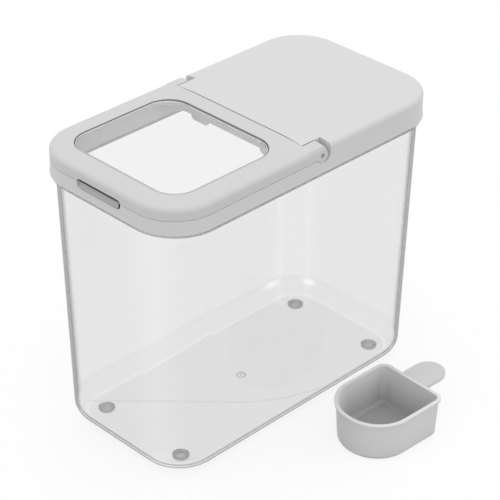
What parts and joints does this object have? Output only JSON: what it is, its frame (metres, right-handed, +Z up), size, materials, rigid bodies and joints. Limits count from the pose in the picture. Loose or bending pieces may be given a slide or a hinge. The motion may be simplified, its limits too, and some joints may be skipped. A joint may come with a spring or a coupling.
{
  "type": "rice bin with flip lid",
  "caption": "Tall clear bin with rounded corners and a grey lid whose front half, with a clear window, flips up on side hinges; a grey measuring scoop stands beside it.",
  "frame": {"origin": "centre of the flat underside of the tub's floor; the four feet reach 1.2 mm lower", "axes": "+Z up, the latch and the flip lid face -Y, the long side lies along Y, the scoop stands beside the bin on +X"},
  "size_m": [0.2818, 0.3317, 0.2824],
  "materials": {
    "tub_clear": "clear, polished",
    "window_clear": "clear, polished",
    "foot_pad": "soft matte",
    "lid_grey": "satin",
    "frame_grey": "satin",
    "seal_soft": "soft matte",
    "pin_steel": "drawn",
    "spring_steel": "drawn wire",
    "button_grey": "satin",
    "scoop_grey": "satin"
  },
  "bodies": {
    "bin": {"tub": "tub_clear", "foot_front_left": "foot_pad", "foot_front_right": "foot_pad", "foot_rear_left": "foot_pad", "foot_rear_right": "foot_pad"},
    "lid": {"lid_body": "lid_grey", "rim_seal": "seal_soft", "hinge_pin_left": "pin_steel", "hinge_pin_right": "pin_steel", "latch_cover": "frame_grey", "latch_spring_left": "spring_steel", "latch_spring_right": "spring_steel"},
    "flip": {"flip_lid": "lid_grey", "window_pane": "window_clear", "window_frame": "frame_grey", "filler_seal": "seal_soft"},
    "button": {"latch_button": "button_grey"},
    "scoop": {"scoop": "scoop_grey"}
  },
  "joints": [
    {"name": "lid_lift", "type": "slide", "parent": "bin", "child": "lid", "axis": [0, 0, 1], "range_m": [0, 0.15]},
    {"name": "flip_hinge", "type": "hinge", "parent": "lid", "child": "flip", "pos_m": [0, 0.0085, 0.2706], "axis": [-1, 0, 0], "range_deg": [0, 90]},
    {"name": "latch_push", "type": "slide", "parent": "lid", "child": "button", "axis": [0, 1, 0], "range_m": [0, 0.0025], "stiffness_N_per_m": 400, "springref_m": -0.001, "deforming": ["latch_spring_left", "latch_spring_right"]},
    {"name": "scoop_lift", "type": "slide", "parent": "bin", "child": "scoop", "axis": [0, 0, 1], "range_m": [0, 0.15]}
  ]
}
